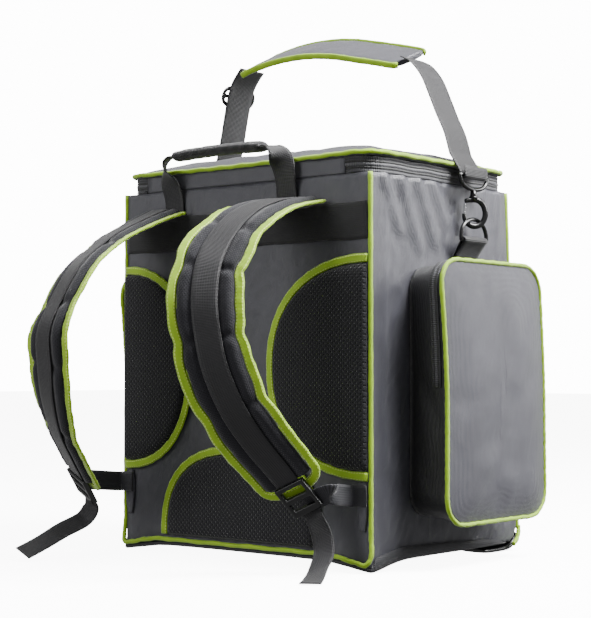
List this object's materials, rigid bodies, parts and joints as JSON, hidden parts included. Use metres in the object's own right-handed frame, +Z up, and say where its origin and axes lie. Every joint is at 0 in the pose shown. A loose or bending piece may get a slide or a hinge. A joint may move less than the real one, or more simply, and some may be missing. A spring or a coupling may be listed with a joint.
{
  "type": "fishing backpack",
  "caption": "Boxy zipped cloth backpack with piped seams, rounded side pockets, mesh back pads, curved shoulder straps with buckles, a grab handle and an over-top carry strap on snap hooks.",
  "frame": {"origin": "middle of the base panel's flat underside; the front feet and rear corners reach 9 mm below it", "axes": "+X to the right along the back panel, seen from behind; +Y from the back panel to the front; +Z up"},
  "size_m": [0.5406, 0.5232, 0.6798],
  "materials": {
    "gray_nylon": "coated cool gray nylon with a satin sheen",
    "black_cloth": "black woven cover cloth",
    "spacer_mesh": "black spacer mesh with small open cells",
    "webbing": "dark ribbed webbing and coarse base cloth",
    "lime_binding": "lime green woven binding tape",
    "zip_tape": "dark zip tape with coil teeth",
    "moulded_plastic": "glossy black moulded plastic",
    "steel_pin": "bright steel gate pin"
  },
  "bodies": {
    "bag": {"body_shell": "gray_nylon", "lid": "gray_nylon", "lid_hinge": "gray_nylon", "lid_zip": "zip_tape", "lid_piping": "lime_binding", "lid_zip_pull": "moulded_plastic", "base_tray": "webbing", "foot_left": "moulded_plastic", "foot_right": "moulded_plastic", "harness_piping": "lime_binding", "front_piping_left": "lime_binding", "front_piping_right": "lime_binding", "side_pocket_left": "gray_nylon", "side_pocket_right": "gray_nylon", "pocket_piping_left": "lime_binding", "pocket_piping_right": "lime_binding", "pocket_zip_left": "zip_tape", "pocket_zip_right": "zip_tape", "pocket_zip_pull_left": "moulded_plastic", "pocket_zip_pull_right": "moulded_plastic", "yoke_band": "webbing", "back_pad_left": "spacer_mesh", "back_pad_right": "spacer_mesh", "back_pad_lower": "spacer_mesh", "back_binding_left": "lime_binding", "back_binding_right": "lime_binding", "back_binding_lower": "lime_binding", "grab_leg_left": "webbing", "grab_leg_right": "webbing", "grab_grip": "black_cloth", "shoulder_pad_left": "black_cloth", "shoulder_pad_right": "black_cloth", "shoulder_binding_left": "lime_binding", "shoulder_binding_right": "lime_binding", "shoulder_webbing_left": "webbing", "shoulder_webbing_right": "webbing", "ladder_buckle_left": "moulded_plastic", "ladder_buckle_right": "moulded_plastic", "adjuster_tail_left": "webbing", "adjuster_tail_right": "webbing", "lower_webbing_left": "webbing", "lower_webbing_right": "webbing", "corner_tab_left": "gray_nylon", "corner_tab_right": "gray_nylon", "carry_pad": "gray_nylon", "carry_binding_rear": "lime_binding", "carry_binding_front": "lime_binding", "carry_webbing_left": "webbing", "carry_webbing_right": "webbing", "strap_slider": "moulded_plastic", "snap_hook_left": "moulded_plastic", "snap_hook_right": "moulded_plastic", "d_ring_left": "moulded_plastic", "d_ring_right": "moulded_plastic", "ring_tab_left": "webbing", "ring_tab_right": "webbing"},
    "gate_left": {"hook_gate_left": "steel_pin"},
    "gate_right": {"hook_gate_right": "steel_pin"}
  },
  "joints": [
    {"name": "gate_hinge_right", "type": "hinge", "parent": "bag", "child": "gate_right", "pos_m": [0.20935, 0.0205, 0.42644], "axis": [0.8191, -0.5736, 0], "range_deg": [0, 30], "stiffness_Nm_per_rad": 0.02},
    {"name": "gate_hinge_left", "type": "hinge", "parent": "bag", "child": "gate_left", "pos_m": [-0.20935, 0.0205, 0.42644], "axis": [0.8191, 0.5736, 0], "range_deg": [0, 30], "stiffness_Nm_per_rad": 0.02}
  ]
}
